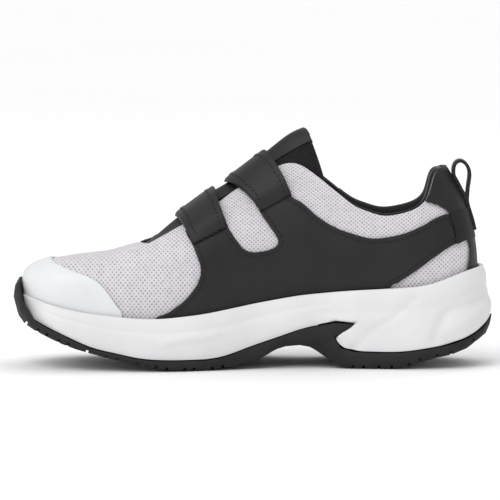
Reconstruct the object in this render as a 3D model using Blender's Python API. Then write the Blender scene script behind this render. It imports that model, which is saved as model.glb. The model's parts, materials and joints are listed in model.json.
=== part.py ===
# Two-strap walking shoe, right foot: sole unit, knitted upper, overlays, tongue and straps.
# Metres, +Z up. The toe points to -X, the inner (medial) side to -Y, and the sole stands on Z = 0.

import math

import bmesh
import bpy
from mathutils import Vector

# Driving sizes
LENGTH = 0.275
BALL_WIDTH = 0.100
SOLE_HEIGHT = 0.060
COLLAR_HEIGHT = 0.1155
UPPER_WALL = 0.0022
OVERLAY_THICKNESS = 0.0012
STRAP_THICKNESS = 0.0022
TONGUE_THICKNESS = 0.0035
TONGUE_PAD = 0.0030
LINING_THICKNESS = 0.0055
LINING_DEPTH = 0.030
INSOLE_THICKNESS = 0.0035
BUMPER_THICKNESS = 0.0035
TREAD_THICKNESS = 0.0052
UPPER_INSET = 0.0080
OVERLAY_TUCK = 0.0030
GROOVE_WIDTH = 0.0015
GROOVE_DEPTH = 0.0022
CHANNEL_WIDTH = 0.0060
LOOP_WIDTH = 0.012
LOOP_THICKNESS = 0.0020
GAP = 0.0003

# Where the fans of columns turn round the toe and the heel, as shares of the length
TOE_SPINE = 0.200
THROAT = 0.285
HEEL_SPINE = 0.824
COLLAR_REACH = 0.085
TOE_SWING = 0.060
BUMPER_END = 0.055
BUMPER_FADE = 0.030
FLARE_START = 0.86
FLARE_RUN = 0.10
TOE_ROUNDNESS = 2.05
HEEL_ROUNDNESS = 2.40

# How finely the form is divided
TOE_STEPS = 8
VAMP_STEPS = 3
WAIST_STEPS = 19
HEEL_STEPS = 7
LOWER_ROWS = 2
UPPER_ROWS = 6

# Half widths of the sole from the spine, as shares of the ball width
PLAN = (
    ("along", "medial", "lateral"),
    (0.200, 0.470, 0.435),
    (0.260, 0.490, 0.480),
    (0.300, 0.490, 0.500),
    (0.380, 0.450, 0.505),
    (0.450, 0.395, 0.475),
    (0.550, 0.335, 0.425),
    (0.650, 0.322, 0.400),
    (0.750, 0.340, 0.385),
    (0.824, 0.360, 0.380),
)

# Heights of the sole along its edge, as shares of the sole height
SOLE = (
    ("along", "tread", "joint", "footbed", "lip"),
    (0.000, 0.550, 0.885, 0.600, 0.700),
    (0.016, 0.482, 0.760, 0.590, 0.690),
    (0.030, 0.417, 0.545, 0.567, 0.672),
    (0.070, 0.330, 0.415, 0.492, 0.625),
    (0.120, 0.233, 0.320, 0.425, 0.578),
    (0.170, 0.167, 0.215, 0.375, 0.543),
    (0.220, 0.107, 0.167, 0.342, 0.522),
    (0.270, 0.067, 0.118, 0.328, 0.502),
    (0.310, 0.020, 0.103, 0.325, 0.500),
    (0.345, 0.000, 0.100, 0.330, 0.512),
    (0.405, 0.000, 0.100, 0.345, 0.541),
    (0.440, 0.020, 0.123, 0.365, 0.570),
    (0.480, 0.053, 0.187, 0.395, 0.605),
    (0.520, 0.100, 0.250, 0.430, 0.640),
    (0.550, 0.200, 0.292, 0.470, 0.662),
    (0.600, 0.225, 0.372, 0.525, 0.701),
    (0.640, 0.175, 0.410, 0.560, 0.718),
    (0.655, 0.105, 0.412, 0.570, 0.725),
    (0.680, 0.030, 0.205, 0.585, 0.735),
    (0.695, 0.000, 0.165, 0.592, 0.741),
    (0.790, 0.000, 0.155, 0.630, 0.768),
    (0.860, 0.088, 0.192, 0.655, 0.795),
    (0.930, 0.160, 0.258, 0.680, 0.885),
    (0.965, 0.257, 0.338, 0.690, 0.930),
    (0.985, 0.308, 0.403, 0.695, 0.945),
    (1.000, 0.433, 0.492, 0.700, 0.950),
)

# How far the rubber's side lies inside the sole's plan, in shares of the bumper, by share of its height
RUBBER_SIDE = (
    ("rise", "inset"),
    (0.00, 0.857),
    (0.35, 0.229),
    (0.70, 0.086),
    (1.00, 0.171),
)

# How far the foam's side lies inside the sole's plan, in shares of the lip's inset, by share of its height
LIP_INSET = 0.0052
SIDE = (
    ("rise", "waist", "heel"),
    (0.00, 0.27, 0.12),
    (0.12, 0.10, 0.08),
    (0.42, 0.02, 0.08),
    (0.56, 0.06, 0.45),
    (0.64, 0.22, 0.66),
    (0.72, 0.16, 0.54),
    (0.90, 0.30, 0.70),
    (1.00, 0.50, 0.98),
)

# Heights of the upper, as shares of the collar height, with the roundness of its sections and their
# side swell in shares of the ball width
UPPER = (
    ("along", "ridge", "widest", "roundness", "swell"),
    (0.200, 0.561, 0.390, 2.40, 0.015),
    (0.240, 0.590, 0.385, 2.30, 0.015),
    (0.285, 0.628, 0.390, 2.25, 0.015),
    (0.303, 0.651, 0.395, 2.20, 0.018),
    (0.340, 0.704, 0.405, 2.20, 0.020),
    (0.413, 0.828, 0.430, 2.20, 0.025),
    (0.440, 0.868, 0.440, 2.20, 0.030),
    (0.512, 0.997, 0.465, 2.15, 0.040),
    (0.553, 1.073, 0.480, 2.10, 0.045),
    (0.587, 1.131, 0.490, 2.05, 0.050),
    (0.625, 1.152, 0.497, 2.03, 0.050),
    (0.680, 1.148, 0.505, 2.00, 0.050),
    (0.750, 1.126, 0.515, 2.00, 0.040),
    (0.824, 1.100, 0.510, 2.00, 0.025),
)
TOE_TIP_ROUNDNESS = 3.4
TOE_DROP = 0.0433
TOE_WIDEST = 0.42
HEEL_TIP_ROUNDNESS = 1.75
HEEL_TUCK = -0.018

# Height of the throat and collar edge, as shares of the collar height
EDGE = (
    ("along", "height"),
    (THROAT, 0.610),
    (0.320, 0.655),
    (0.345, 0.690),
    (0.422, 0.798),
    (0.453, 0.856),
    (0.541, 0.977),
    (0.582, 1.015),
    (0.603, 1.000),
    (0.636, 0.936),
    (0.670, 0.880),
    (0.703, 0.804),
    (0.736, 0.775),
    (0.770, 0.748),
    (0.803, 0.760),
    (0.836, 0.785),
    (0.859, 0.834),
    (0.872, 0.907),
    (0.884, 0.968),
    (0.909, 0.978),
)

# Side outlines of the overlays: shares of the length and of the collar height
TOE_CAP_OUTLINE = (
    (-0.050, 0.10), (0.235, 0.10), (0.232, 0.270), (0.220, 0.322), (0.205, 0.377), (0.189, 0.421),
    (0.172, 0.449), (0.155, 0.467), (0.118, 0.495), (0.078, 0.531), (0.070, 0.700), (-0.050, 0.700),
)
SADDLE_OUTLINE = (
    (0.297, 0.150), (0.299, 0.253), (0.328, 0.288), (0.361, 0.346), (0.382, 0.405), (0.391, 0.450),
    (0.394, 0.490), (0.391, 0.531), (0.378, 0.610), (0.362, 0.690), (0.430, 0.790), (0.452, 0.690),
    (0.472, 0.620), (0.484, 0.590), (0.502, 0.574), (0.530, 0.584), (0.549, 0.605), (0.553, 0.640),
    (0.536, 0.705), (0.516, 0.760), (0.497, 0.880), (0.560, 0.935), (0.580, 0.850), (0.603, 0.814),
    (0.636, 0.746), (0.670, 0.697), (0.703, 0.668), (0.745, 0.643), (0.786, 0.652), (0.820, 0.673),
    (0.853, 0.707), (0.880, 0.742), (0.892, 0.752), (0.900, 0.700), (0.912, 0.640), (0.904, 0.595),
    (0.870, 0.541), (0.836, 0.482), (0.803, 0.429), (0.782, 0.384), (0.770, 0.150),
)
COUNTER_OUTLINE = (
    (0.856, 0.838), (0.866, 0.905), (0.876, 0.975), (0.884, 1.060), (1.050, 1.060), (1.050, 0.300),
    (0.940, 0.300), (0.944, 0.460), (0.950, 0.540), (0.950, 0.600), (0.941, 0.632), (0.918, 0.640),
    (0.912, 0.690), (0.906, 0.760), (0.884, 0.800),
)

# The pointed black wing of the outsole on the arch: shares of the length and of the sole height
WING_OUTLINE = (
    (0.640, 0.240), (0.640, 0.412), (0.672, 0.438), (0.708, 0.425), (0.703, 0.405),
    (0.686, 0.358), (0.670, 0.310), (0.661, 0.262), (0.655, 0.200),
)

# Grooves between the lugs, as shares of the length
LUG_GROOVES = (
    0.031, 0.057, 0.076, 0.101, 0.120, 0.160, 0.200, 0.222, 0.264, 0.301, 0.324, 0.361, 0.380, 0.418, 0.439,
    0.707, 0.729, 0.761, 0.787, 0.824, 0.847, 0.882, 0.910, 0.960,
)
SLOPE_STEP = 0.01

# Where the lengthwise channels start and end, as shares of the length
CHANNELS = ((0.09, 0.50), (0.715, 0.955))
CHANNEL_STEPS = 12
CHANNEL_SHARE = 0.8

# Straps: where the front and rear edges cross the ridge, and where they end, in shares
STRAPS = (
    ("name", "front_top", "rear_top", "front_end", "rear_end", "front_low", "rear_low", "free_low"),
    ("strap_front", 0.338, 0.414, 0.378, 0.447, 0.610, 0.687, 0.520),
    ("strap_rear", 0.440, 0.517, 0.516, 0.580, 0.760, 0.843, 0.660),
)
STRAP_ROWS = 22
STRAP_COLUMNS = 4
STRAP_BOW = 1.3
STRAP_LIFT_START = -0.10
STRAP_LIFT_RISE = 0.7
STRAP_END_ROUND = 0.05
TONGUE_START = 0.255
TONGUE_TOP = 0.605
TONGUE_SWEEP = 0.062
TONGUE_TUCK = 0.13
TONGUE_BOW = 1.2
PAD_START = 0.14
PAD_RISE = 0.6
PAD_FADE = 0.05
TONGUE_ROWS = 13
TONGUE_COLUMNS = 12
LINING_FRONT = 0.668
LINING_RISE = 0.0030
LOOP_FOOT = 0.660
LOOP_LEAVES = 0.790
LOOP_MEETS = 0.925
HOLE_FOOT = 0.850
LOOP_STEPS = 5

# The outer face of the pull loop, from the heel over the top and down: shares of the length and of
# the collar height
LOOP_PATH = (
    (0.9185, 0.960), (0.9198, 0.990), (0.9262, 1.010), (0.9365, 1.020), (0.9469, 1.009), (0.9552, 0.987),
    (0.9600, 0.955), (0.9590, 0.920), (0.9558, 0.876), (0.9553, 0.846),
)


def curve(rows, column, along):
    """Read a named column of a table on a smooth line that never overshoots its rows."""
    index = rows[0].index(column)
    places = [row[0] for row in rows[1:]]
    values = [row[index] for row in rows[1:]]
    if along <= places[0]:
        return values[0]
    if along >= places[-1]:
        return values[-1]
    at = max(i for i in range(len(places) - 1) if places[i] <= along)
    slopes = [(values[i + 1] - values[i]) / (places[i + 1] - places[i]) for i in range(len(places) - 1)]

    def tangent(i):
        if i == 0 or i == len(places) - 1:
            return slopes[min(i, len(slopes) - 1)]
        before, after = slopes[i - 1], slopes[i]
        return 0.0 if before * after <= 0.0 else 2.0 * before * after / (before + after)

    step = places[at + 1] - places[at]
    t = (along - places[at]) / step
    start, end = tangent(at) * step, tangent(at + 1) * step
    rise = values[at + 1] - values[at]
    return values[at] + start * t + (3 * rise - 2 * start - end) * t * t + (start + end - 2 * rise) * t ** 3


def smooth(value):
    value = min(max(value, 0.0), 1.0)
    return value * value * (3.0 - 2.0 * value)


def mix(a, b, share):
    return a + (b - a) * share


def x_of(along):
    return (along - 0.5) * LENGTH


def along_of(x):
    return x / LENGTH + 0.5


def sole_height(column, along):
    return curve(SOLE, column, along) * SOLE_HEIGHT


def plate_height(along):
    """Top of the tread plate: the joint line, but lower where the rubber turns up the toe."""
    joint = sole_height("joint", along)
    return min(joint, sole_height("tread", along) + TREAD_THICKNESS) if along < TOE_SPINE else joint


class Column:
    """One upright section plane of the shoe, from the spine outwards."""

    def __init__(self, side, spine, angle):
        self.side = side
        self.spine = spine
        self.dx = -math.cos(angle)
        self.dy = side * math.sin(angle)
        half = curve(PLAN, "medial" if side < 0 else "lateral", spine) * BALL_WIDTH
        self.forward = abs(self.dx)
        self.at_toe = self.dx < -1e-6
        self.at_heel = self.dx > 1e-6
        if self.at_toe:
            self.reach = superellipse(TOE_SPINE * LENGTH, half, self.forward, abs(self.dy), TOE_ROUNDNESS)
        elif self.at_heel:
            long = (1.0 - HEEL_SPINE) * LENGTH
            self.reach = superellipse(long, half, self.forward, abs(self.dy), HEEL_ROUNDNESS)
        else:
            self.reach = half
        self.along = along_of(x_of(spine) + self.dx * self.reach)
        self.base_along = along_of(x_of(spine) + self.dx * (self.reach - UPPER_INSET))
        self.bed = sole_height("footbed", self.base_along) + 2.0 * GAP
        self.lip = sole_height("lip", self.along)
        self.ridge = curve(UPPER, "ridge", spine) * COLLAR_HEIGHT
        widest = curve(UPPER, "widest", spine)
        roundness = curve(UPPER, "roundness", spine)
        swell = curve(UPPER, "swell", spine)
        self.drop = 0.0
        if self.at_toe:
            widest = mix(widest, TOE_WIDEST, self.forward ** 2)
            roundness = mix(roundness, TOE_TIP_ROUNDNESS, self.forward ** 2)
            self.drop = TOE_DROP * COLLAR_HEIGHT * self.forward
        if self.at_heel:
            swell = mix(swell, HEEL_TUCK, self.forward)
            roundness = mix(roundness, HEEL_TIP_ROUNDNESS, self.forward)
        self.widest = max(widest * COLLAR_HEIGHT, self.lip + 3.0 * GAP)
        self.roundness = roundness
        self.swell = swell * BALL_WIDTH
        self.open = spine >= THROAT - 1e-6
        self.edge_along = spine + self.dx * COLLAR_REACH if self.at_heel else spine
        self.edge = curve(EDGE, "height", self.edge_along) * COLLAR_HEIGHT
        self.cut = self.share_at(self.edge) if self.open else 2.0

    def place(self, radius, height):
        x = x_of(self.spine) + self.dx * radius
        ahead = max(0.0, x_of(TOE_SPINE) - x) / (TOE_SPINE * LENGTH)
        return Vector((x, self.dy * radius + side_shift() - TOE_SWING * BALL_WIDTH * ahead * ahead, height))

    def profile(self, share, inset):
        """Point of the upper's section: 0 is its foot, 1 its widest place and 2 the ridge."""
        base = self.reach - UPPER_INSET
        if share <= 1.0:
            radius = base + self.swell * smooth(share) - inset
            return self.place(radius, mix(self.bed, self.widest, share))
        angle = (share - 1.0) * math.pi / 2.0
        power = 2.0 / self.roundness
        wide = base + self.swell - inset
        flat = max(math.cos(angle), 0.0) ** power
        ridge = self.ridge - inset - self.drop * flat
        return self.place(wide * flat, self.widest + (ridge - self.widest) * math.sin(angle) ** power)

    def share_at(self, height):
        if height <= self.widest:
            return max((height - self.bed) / (self.widest - self.bed), 0.0)
        rise = min((height - self.widest) / (self.ridge - self.widest), 1.0)
        return 1.0 + math.asin(rise ** (self.roundness / 2.0)) / (math.pi / 2.0)


def side_shift():
    """Puts the middle of the sole's width on the origin: the outer side is the wider one."""
    widest = [max(row[i] for row in PLAN[1:]) for i in (1, 2)]
    return (widest[0] - widest[1]) / 2.0 * BALL_WIDTH


def superellipse(long, wide, along, across, power):
    return ((along / long) ** power + (across / wide) ** power) ** (-1.0 / power)


def side_columns(side):
    """The columns of one side, from the tip of the toe to the back of the heel."""
    right = math.pi / 2.0
    columns = [Column(side, TOE_SPINE, right * i / TOE_STEPS) for i in range(TOE_STEPS)]
    columns += [Column(side, mix(TOE_SPINE, THROAT, i / VAMP_STEPS), right) for i in range(VAMP_STEPS)]
    columns += [Column(side, mix(THROAT, HEEL_SPINE, i / WAIST_STEPS), right) for i in range(WAIST_STEPS)]
    columns += [Column(side, HEEL_SPINE, right * (1.0 + i / HEEL_STEPS)) for i in range(HEEL_STEPS + 1)]
    return columns


MEDIAL = side_columns(-1)
LATERAL = side_columns(1)
RING = MEDIAL + LATERAL[-2:0:-1]


def material(name, colour, roughness):
    channels = [int(colour[i:i + 2], 16) / 255.0 for i in (0, 2, 4)]
    linear = [c / 12.92 if c <= 0.04045 else ((c + 0.055) / 1.055) ** 2.4 for c in channels]
    made = bpy.data.materials.new(name)
    made.use_nodes = True
    shader = made.node_tree.nodes["Principled BSDF"]
    shader.inputs["Base Color"].default_value = (*linear, 1.0)
    shader.inputs["Roughness"].default_value = roughness
    made.diffuse_color = (*linear, 1.0)
    return made


def piece(name, mesh, colour, roughness):
    mesh.materials.append(material(name, colour, roughness))
    made = bpy.data.objects.new(name, mesh)
    bpy.context.scene.collection.objects.link(made)
    return made


def cutter(name, mesh):
    made = bpy.data.objects.new(name, mesh)
    bpy.context.scene.collection.objects.link(made)
    made.hide_render = True
    made.display_type = "WIRE"
    return made


def cut(target, tool, operation):
    change = target.modifiers.new(tool.name, "BOOLEAN")
    change.operation = operation
    change.solver = "EXACT"
    change.object = tool


def mesh_from(name, points, faces, sharp=35.0):
    """A closed mesh from points and faces, welded, facing out and shaded smooth."""
    work = bmesh.new()
    verts = [work.verts.new(point) for point in points]
    for face in faces:
        corners = list(dict.fromkeys(face))
        if len(corners) > 2:
            work.faces.new([verts[i] for i in corners])
    bmesh.ops.remove_doubles(work, verts=work.verts, dist=1e-6)
    bmesh.ops.dissolve_degenerate(work, edges=work.edges, dist=1e-7)
    bmesh.ops.recalc_face_normals(work, faces=work.faces)
    mesh = bpy.data.meshes.new(name)
    work.to_mesh(mesh)
    work.free()
    mesh.shade_smooth()
    mesh.set_sharp_from_angle(angle=math.radians(sharp))
    return mesh


def stacked_rings(name, rings):
    """A solid between rings that go all round the shoe, closed across its bottom and its top."""
    count = len(RING)
    half = len(MEDIAL) - 1
    points = [point for ring in rings for point in ring]
    faces = []
    for level in range(len(rings) - 1):
        low, high = level * count, (level + 1) * count
        for i in range(count):
            j = (i + 1) % count
            faces.append((low + i, low + j, high + j, high + i))
    for level in (0, len(rings) - 1):
        start = level * count
        for i in range(half):
            other, after = (count - i) % count, count - i - 1
            faces.append((start + i, start + i + 1, start + after, start + other))
    return mesh_from(name, points, faces)


def shell(name, outer, inner, from_base):
    """A wall between two insets of the upper's form, open underneath and above the edge."""
    count = len(RING)
    points = []
    for inset in (outer, inner):
        for column in RING:
            foot = column.share_at(column.lip - OVERLAY_TUCK)
            shares = [0.0] if from_base else []
            shares += [mix(foot, 1.0, row / LOWER_ROWS) for row in range(LOWER_ROWS)]
            shares += [mix(1.0, column.cut, row / UPPER_ROWS) for row in range(UPPER_ROWS + 1)]
            points += [column.profile(share, inset) for share in shares]
    rows = len(shares) - 1
    step = rows + 1
    faces = []
    for i in range(count):
        j = (i + 1) % count
        for row in range(rows):
            for side in (0, count * step):
                corner, beside = side + i * step + row, side + j * step + row
                faces += [(corner, beside, beside + 1), (corner, beside + 1, corner + 1)]
        for row in (0, rows):
            if row and not RING[i].open and not RING[j].open:
                continue
            faces.append([i * step + row, j * step + row,
                          (count + j) * step + row, (count + i) * step + row])
    return mesh_from(name, points, faces)


def prism(name, outline, near, far):
    """An upright outline, in x and z, drawn out from one y to another."""
    count = len(outline)
    points = [(x, near, z) for x, z in outline] + [(x, far, z) for x, z in outline]
    faces = [tuple(range(count)), tuple(range(count, 2 * count))]
    faces += [(i, (i + 1) % count, count + (i + 1) % count, count + i) for i in range(count)]
    return mesh_from(name, points, faces)


def outline_in(outline, height):
    return [(x_of(along), share * height) for along, share in outline]


def toe_weight(column):
    """1 where the rubber bumper wraps the foam, 0 behind it."""
    return 1.0 - smooth((column.along - BUMPER_END) / BUMPER_FADE) if column.at_toe else 0.0


def build_sole():
    margin = BALL_WIDTH
    wing = cutter("wing_outline", prism("wing_outline", outline_in(WING_OUTLINE, SOLE_HEIGHT), -margin, margin))
    grown = []
    corners = [Vector(corner) for corner in outline_in(WING_OUTLINE, SOLE_HEIGHT)]
    middle = sum(corners, Vector((0.0, 0.0))) / len(corners)
    for corner in corners:
        away = corner - middle
        grown.append(tuple(middle + away * (1.0 + 4.0 * GAP / away.length)))
    wing_room = cutter("wing_room", prism("wing_room", grown, -margin, margin))

    def ring(inset, height):
        points = []
        for column in RING:
            radius = column.reach - inset(column)
            along = along_of(x_of(column.spine) + column.dx * radius)
            points.append(column.place(radius, height(column, along)))
        return points

    def joint(column, along):
        return sole_height("joint", along)

    def plate(column, along):
        return plate_height(along)

    def between(share):
        return lambda column, along: mix(sole_height("tread", along), sole_height("joint", along), share)

    rim = BUMPER_THICKNESS
    inset_top = RUBBER_SIDE[-1][1] * rim
    sides = [ring(lambda c, inset=inset: inset * rim, between(rise)) for rise, inset in RUBBER_SIDE[1:]]
    outsole = piece("outsole", stacked_rings("outsole", sides + [
        ring(lambda c: rim, joint),
        ring(lambda c: rim + GAP, plate),
    ]), "3a3a3b", 0.75)
    block = cutter("sole_block", stacked_rings("sole_block", [
        ring(lambda c: inset_top, lambda c, a: 0.0),
        ring(lambda c: inset_top, lambda c, a: SOLE_HEIGHT),
    ]))
    wing_piece = cutter("wing_piece", wing.data.copy())
    cut(wing_piece, block, "INTERSECT")
    cut(outsole, wing_piece, "UNION")

    for i, box in enumerate(lug_cutters()):
        cut(outsole, cutter("groove_tool_%d" % i, box), "DIFFERENCE")

    levels = [ring(lambda c: mix(SIDE[1][1] * LIP_INSET, rim + 3.0 * GAP, toe_weight(c)),
                   lambda c, a: plate_height(a) + 2.0 * GAP)]
    for rise, waist, heel in SIDE[1:]:
        def inset(column, waist=waist, heel=heel):
            back = smooth((column.along - FLARE_START) / FLARE_RUN)
            plain = mix(waist, heel, back) * LIP_INSET
            return mix(plain, rim + 3.0 * GAP, toe_weight(column))

        def height(column, along, rise=rise):
            base = mix(sole_height("joint", along), plate_height(along) + GAP, toe_weight(column))
            return mix(base + 3.0 * GAP, column.lip, rise)

        levels.append(ring(inset, height))
    room = -(OVERLAY_THICKNESS + 3.0 * GAP)
    for share in (1.0, 0.5, 0.0):
        inner = []
        for column in RING:
            top = column.share_at(column.lip - GAP)
            inner.append(column.profile(top * share, room))
            if share == 0.0:
                inner[-1].z = sole_height("footbed", column.base_along)
        levels.append(inner)
    midsole = piece("midsole", stacked_rings("midsole", levels), "e6e6e7", 0.6)
    cut(midsole, wing_room, "DIFFERENCE")

    low = [column.profile(0.0, UPPER_WALL + 2.0 * GAP) for column in RING]
    for point, column in zip(low, RING):
        point.z = sole_height("footbed", column.base_along) + GAP
    high = [point + Vector((0.0, 0.0, INSOLE_THICKNESS)) for point in low]
    piece("insole", stacked_rings("insole", [low, high]), "2a2a2b", 0.9)


def groove_depth(along):
    """Depth of the tread's grooves: at most half of the rubber there."""
    return min(GROOVE_DEPTH, 0.5 * (sole_height("joint", along) - sole_height("tread", along)))


def lug_cutters():
    """Boxes that cut the grooves between the lugs, square to the tread, and the lengthwise channels."""
    work = bmesh.new()
    for along in LUG_GROOVES:
        rise = sole_height("tread", along + SLOPE_STEP) - sole_height("tread", along - SLOPE_STEP)
        slope = math.atan2(rise, 2.0 * SLOPE_STEP * LENGTH)
        made = bmesh.ops.create_cube(work, size=1.0)["verts"]
        for vert in made:
            local = Vector((vert.co.x * GROOVE_WIDTH, 0.0, vert.co.z * 2.0 * groove_depth(along)))
            x = local.x * math.cos(slope) - local.z * math.sin(slope)
            z = local.x * math.sin(slope) + local.z * math.cos(slope)
            vert.co = (x_of(along) + x, vert.co.y * 2.0 * BALL_WIDTH, sole_height("tread", along) + z)
    grooves = bpy.data.meshes.new("grooves")
    work.to_mesh(grooves)
    work.free()
    channels = []
    for first, last in CHANNELS:
        line = [mix(first, last, i / CHANNEL_STEPS) for i in range(CHANNEL_STEPS + 1)]
        low = [(x_of(a), sole_height("tread", a) - GROOVE_DEPTH) for a in line]
        top = [(x_of(a), sole_height("tread", a) + CHANNEL_SHARE * groove_depth(a)) for a in reversed(line)]
        channels.append(prism("channel", low + top, -CHANNEL_WIDTH / 2.0, CHANNEL_WIDTH / 2.0))
    return [grooves] + channels


def build_upper():
    piece("upper", shell("upper", 0.0, UPPER_WALL, True), "dcd9de", 0.9)
    margin = BALL_WIDTH
    sides = (("toe_cap", TOE_CAP_OUTLINE, -margin, margin, "e6e8ea", 0.35),
             ("saddle_medial", SADDLE_OUTLINE, -margin, 0.0, "353536", 0.5),
             ("saddle_lateral", SADDLE_OUTLINE, 0.0, margin, "353536", 0.5),
             ("heel_counter", COUNTER_OUTLINE, -margin, margin, "2d2d2e", 0.5))
    for name, outline, near, far, colour, roughness in sides:
        form = shell(name, -(GAP + OVERLAY_THICKNESS), -GAP, False)
        made = piece(name, form, colour, roughness)
        tool = cutter(name + "_outline", prism(name + "_outline", outline_in(outline, COLLAR_HEIGHT), near, far))
        cut(made, tool, "INTERSECT")


def build_lining():
    """Padded collar: a roll on the inside of the edge, thinning downwards."""
    columns = [c for c in MEDIAL if c.spine >= LINING_FRONT] + [
        c for c in reversed(LATERAL[:-1]) if c.spine >= LINING_FRONT]
    outside = UPPER_WALL + GAP
    thick = LINING_THICKNESS
    sections = []
    for column in columns:
        edge = column.edge
        drop = LINING_DEPTH

        def at(height, inset):
            return column.profile(column.share_at(height), inset)

        sections.append([
            at(edge - drop, outside),
            at(edge - 0.5 * drop, outside),
            at(edge - 2.0 * GAP, outside),
            at(edge + 0.6 * LINING_RISE, outside - 0.10 * thick),
            at(edge + LINING_RISE, outside + 0.30 * thick),
            at(edge + 0.7 * LINING_RISE, outside + 0.80 * thick),
            at(edge - 0.15 * drop, outside + 1.05 * thick),
            at(edge - 0.5 * drop, outside + 0.85 * thick),
            at(edge - drop, outside + 0.25 * thick),
        ])
    size = len(sections[0])
    points = [point for section in sections for point in section]
    faces = []
    for i in range(len(sections) - 1):
        for j in range(size):
            k = (j + 1) % size
            faces.append((i * size + j, i * size + k, (i + 1) * size + k, (i + 1) * size + j))
    faces.append(tuple(range(size)))
    faces.append(tuple(range(len(points) - size, len(points))))
    piece("collar_lining", mesh_from("collar_lining", points, faces), "1c1b1c", 0.95)


def build_tongue():
    """Padded tongue: tucked under the throat's edges, standing proud between them."""
    points = []
    for side_of_pad in (0, 1):
        for row in range(TONGUE_ROWS + 1):
            for step in range(TONGUE_COLUMNS + 1):
                across = 2.0 * step / TONGUE_COLUMNS - 1.0
                end = TONGUE_TOP + TONGUE_SWEEP * abs(across) ** TONGUE_BOW
                along = mix(TONGUE_START, end, row / TONGUE_ROWS)
                column = Column(-1 if across < 0 else 1, along, math.pi / 2.0)
                edge = column.share_at(curve(EDGE, "height", max(along, THROAT)) * COLLAR_HEIGHT)
                share = 2.0 - (2.0 - edge + TONGUE_TUCK) * abs(across)
                inside = smooth((share - edge - PAD_START) / (PAD_RISE * (2.0 - edge) + 1e-4))
                inside *= smooth((along - THROAT) / PAD_FADE)
                under = UPPER_WALL + (3.0 if along > THROAT else 5.0) * GAP
                top = mix(under, -TONGUE_PAD, inside)
                points.append(column.profile(share, top + side_of_pad * TONGUE_THICKNESS))
    rows, across = TONGUE_ROWS + 1, TONGUE_COLUMNS + 1
    piece("tongue", slab("tongue", points, rows, across), "221f20", 0.9)


def slab(name, points, rows, across):
    """A closed sheet from two grids of points, the outer one first."""
    under = rows * across
    faces = []
    for i in range(rows - 1):
        for j in range(across - 1):
            at = i * across + j
            faces.append((at, at + 1, at + across + 1, at + across))
            faces.append((under + at, under + at + across, under + at + across + 1, under + at + 1))
    rim = [j for j in range(across)]
    rim += [i * across + across - 1 for i in range(1, rows)]
    rim += [(rows - 1) * across + j for j in range(across - 2, -1, -1)]
    rim += [i * across for i in range(rows - 2, 0, -1)]
    for i, a in enumerate(rim):
        b = rim[(i + 1) % len(rim)]
        faces.append((a, b, under + b, under + a))
    return mesh_from(name, points, faces)


def build_straps():
    for row in STRAPS[1:]:
        values = dict(zip(STRAPS[0], row))
        points = []
        for layer in (0, 1):
            for i in range(STRAP_ROWS + 1):
                for j in range(STRAP_COLUMNS + 1):
                    points.append(strap_point(values, 2.0 * i / STRAP_ROWS - 1.0, j / STRAP_COLUMNS, layer))
        mesh = slab(values["name"], points, STRAP_ROWS + 1, STRAP_COLUMNS + 1)
        piece(values["name"], mesh, "353536", 0.5)


def strap_point(values, reach, across, layer):
    """Point of a strap: reach runs from the sewn end, -1, over the ridge to the free end, 1."""
    side = -1 if reach < 0.0 else 1
    away = abs(reach)
    low = mix(values["front_low"], values["rear_low"], across)
    if side > 0:
        low -= values["front_low"] - values["free_low"]
        low += STRAP_END_ROUND * (2.0 * across - 1.0) ** 4
    end = mix(values["front_end"], values["rear_end"], across)
    top = mix(values["front_top"], values["rear_top"], across)
    along = mix(top, end, away ** STRAP_BOW)
    foot = Column(side, end, math.pi / 2.0).share_at(low * COLLAR_HEIGHT)
    column = Column(side, along, math.pi / 2.0)
    share = mix(2.0, foot, away)
    over = smooth((share - column.cut - STRAP_LIFT_START) / (STRAP_LIFT_RISE * (2.0 - column.cut) + GAP))
    lift = mix(OVERLAY_THICKNESS + 4.0 * GAP, TONGUE_PAD + 2.0 * GAP, over)
    thick = STRAP_THICKNESS if layer == 0 else 0.0
    return column.profile(share, -(lift + thick))


def build_pull_loop():
    """Webbing that runs up the back of the heel, over in a loop and back down beside itself."""
    heel = MEDIAL[-1]
    clear = OVERLAY_THICKNESS + 3.0 * GAP

    def on_heel(first, last, inset):
        line = []
        for i in range(LOOP_STEPS + 1):
            share = heel.share_at(mix(first, last, i / LOOP_STEPS) * COLLAR_HEIGHT)
            point = heel.profile(share, -inset)
            line.append((point.x, point.z))
        return line

    riser = on_heel(LOOP_FOOT, LOOP_MEETS, clear)
    over = riser[-1:] + outline_in(LOOP_PATH, COLLAR_HEIGHT)
    within = []
    for i, (x, z) in enumerate(over):
        before, after = over[max(i - 1, 0)], over[min(i + 1, len(over) - 1)]
        along = Vector((after[0] - before[0], after[1] - before[1])).normalized() * LOOP_THICKNESS
        within.append((x + along.y, z - along.x))
    back = clear + LOOP_THICKNESS
    outside = riser[:-1] + over + on_heel(LOOP_LEAVES, LOOP_FOOT, back)
    inside = within + on_heel(HOLE_FOOT, LOOP_MEETS, back)[:-1]
    near, far = (side_shift() + sign * LOOP_WIDTH / 2.0 for sign in (-1, 1))
    made = piece("pull_loop", prism("pull_loop", outside, near, far), "242425", 0.9)
    cut(made, cutter("loop_hole", prism("loop_hole", inside, near - LOOP_WIDTH, far + LOOP_WIDTH)), "DIFFERENCE")


def main():
    for old in list(bpy.data.objects):
        bpy.data.objects.remove(old, do_unlink=True)
    build_sole()
    build_upper()
    build_lining()
    build_tongue()
    build_straps()
    build_pull_loop()


main()
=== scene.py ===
"""Two-strap walking shoe, right foot: finish of every piece, seams, stitches, knit and studio."""
import json
import math

import bmesh
import bpy
from mathutils import Matrix, Vector
from mathutils.bvhtree import BVHTree
from mathutils.geometry import intersect_point_line

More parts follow.
